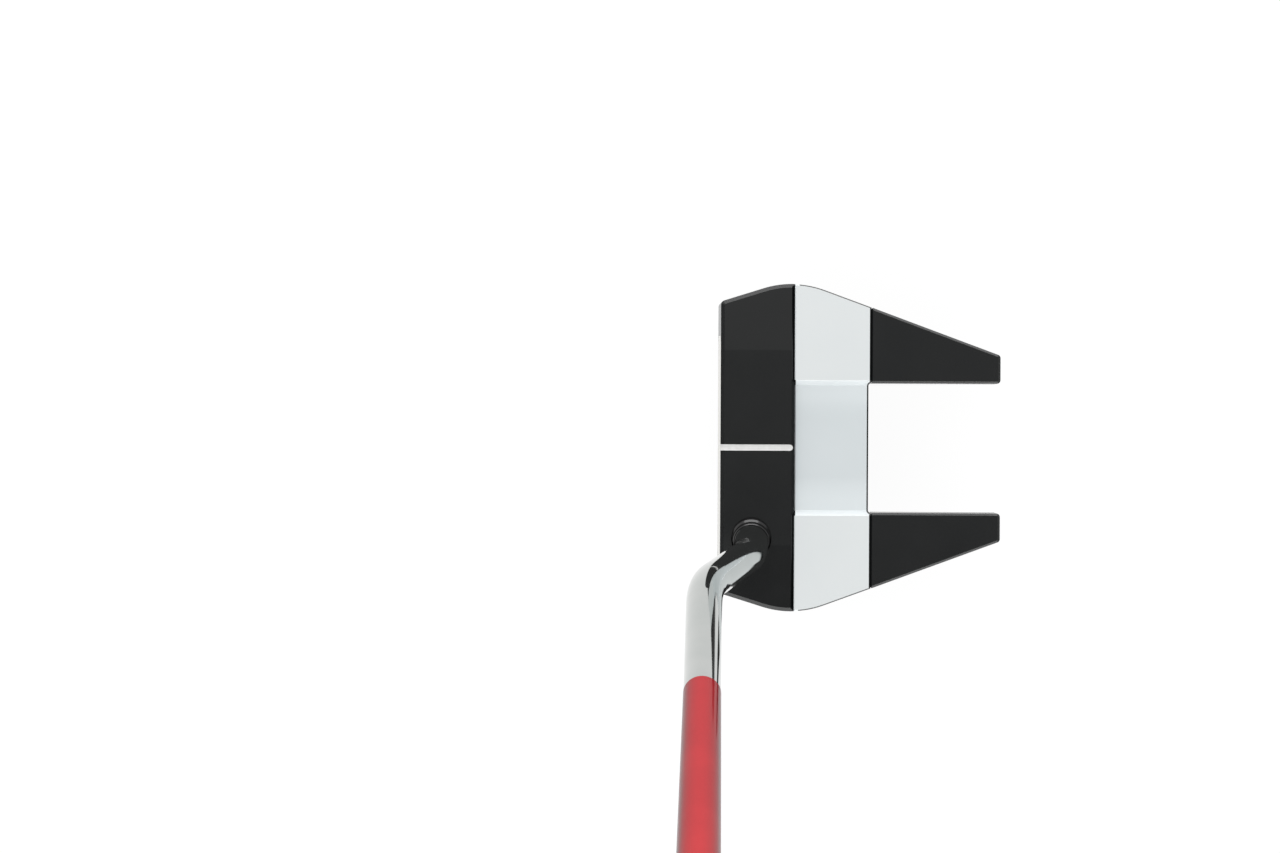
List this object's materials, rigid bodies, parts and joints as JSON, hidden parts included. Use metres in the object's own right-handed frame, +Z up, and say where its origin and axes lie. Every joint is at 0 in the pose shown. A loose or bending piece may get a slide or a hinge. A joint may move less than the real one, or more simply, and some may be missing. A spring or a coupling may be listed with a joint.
{
  "type": "mallet putter",
  "caption": "Fang-style mallet putter: black front bar, white bridge, two black wings, double-bend steel shaft tip, tapered red shaft and pistol grip.",
  "frame": {"origin": "on the sole plane, under the sight line, at mid-depth of the front bar", "axes": "+X from the strike face to the back of the head, +Y to the toe, +Z up; the shaft leans towards -Y"},
  "size_m": [0.0945, 0.3568, 0.8178],
  "materials": {
    "bar_black": "satin",
    "bridge_white": "gloss",
    "wing_black": "satin",
    "insert_white": "satin",
    "insert_firm": "satin",
    "sight_paint": "satin",
    "collar_black": "satin",
    "screw_steel": "satin",
    "weight_steel": "satin",
    "seal_rubber": "matte",
    "tip_chrome": "polished",
    "tube_red": "gloss",
    "slug_steel": "satin",
    "tape_paper": "matte",
    "grip_foam": "matte",
    "grip_rubber": "matte",
    "cap_rubber": "matte"
  },
  "bodies": {
    "putter": {"front_body": "bar_black", "face_insert": "insert_white", "insert_core": "insert_firm", "sight_line": "sight_paint", "shaft_collar": "collar_black", "centre_bridge": "bridge_white", "toe_wing": "wing_black", "heel_wing": "wing_black", "bridge_screws": "screw_steel", "wing_screws": "screw_steel", "shaft_tip": "tip_chrome", "tip_plug": "collar_black", "shaft_tube": "tube_red", "butt_weight": "slug_steel", "grip_tape": "tape_paper", "grip_core": "grip_foam", "grip_skin": "grip_rubber", "grip_cap": "cap_rubber"},
    "toe_seal": {"toe_weight_seal": "seal_rubber"},
    "toe_weight": {"toe_weight": "weight_steel"},
    "heel_seal": {"heel_weight_seal": "seal_rubber"},
    "heel_weight": {"heel_weight": "weight_steel"}
  },
  "joints": [
    {"name": "toe_weight_travel", "type": "slide", "parent": "putter", "child": "toe_seal", "axis": [0, 0, -1], "range_m": [0, 0.00625]},
    {"name": "toe_weight_turn", "type": "hinge", "parent": "toe_seal", "child": "toe_weight", "pos_m": [0.0016, 0.035, 0.0003], "axis": [0, 0, -1], "range_deg": [0, 1800]},
    {"name": "heel_weight_travel", "type": "slide", "parent": "putter", "child": "heel_seal", "axis": [0, 0, -1], "range_m": [0, 0.00625]},
    {"name": "heel_weight_turn", "type": "hinge", "parent": "heel_seal", "child": "heel_weight", "pos_m": [0.0016, -0.035, 0.0003], "axis": [0, 0, -1], "range_deg": [0, 1800]}
  ],
  "couplings": [
    {"joint": "toe_weight_travel", "follows": "toe_weight_turn", "m_per_rad": 0.00019894},
    {"joint": "heel_weight_travel", "follows": "heel_weight_turn", "m_per_rad": 0.00019894}
  ]
}
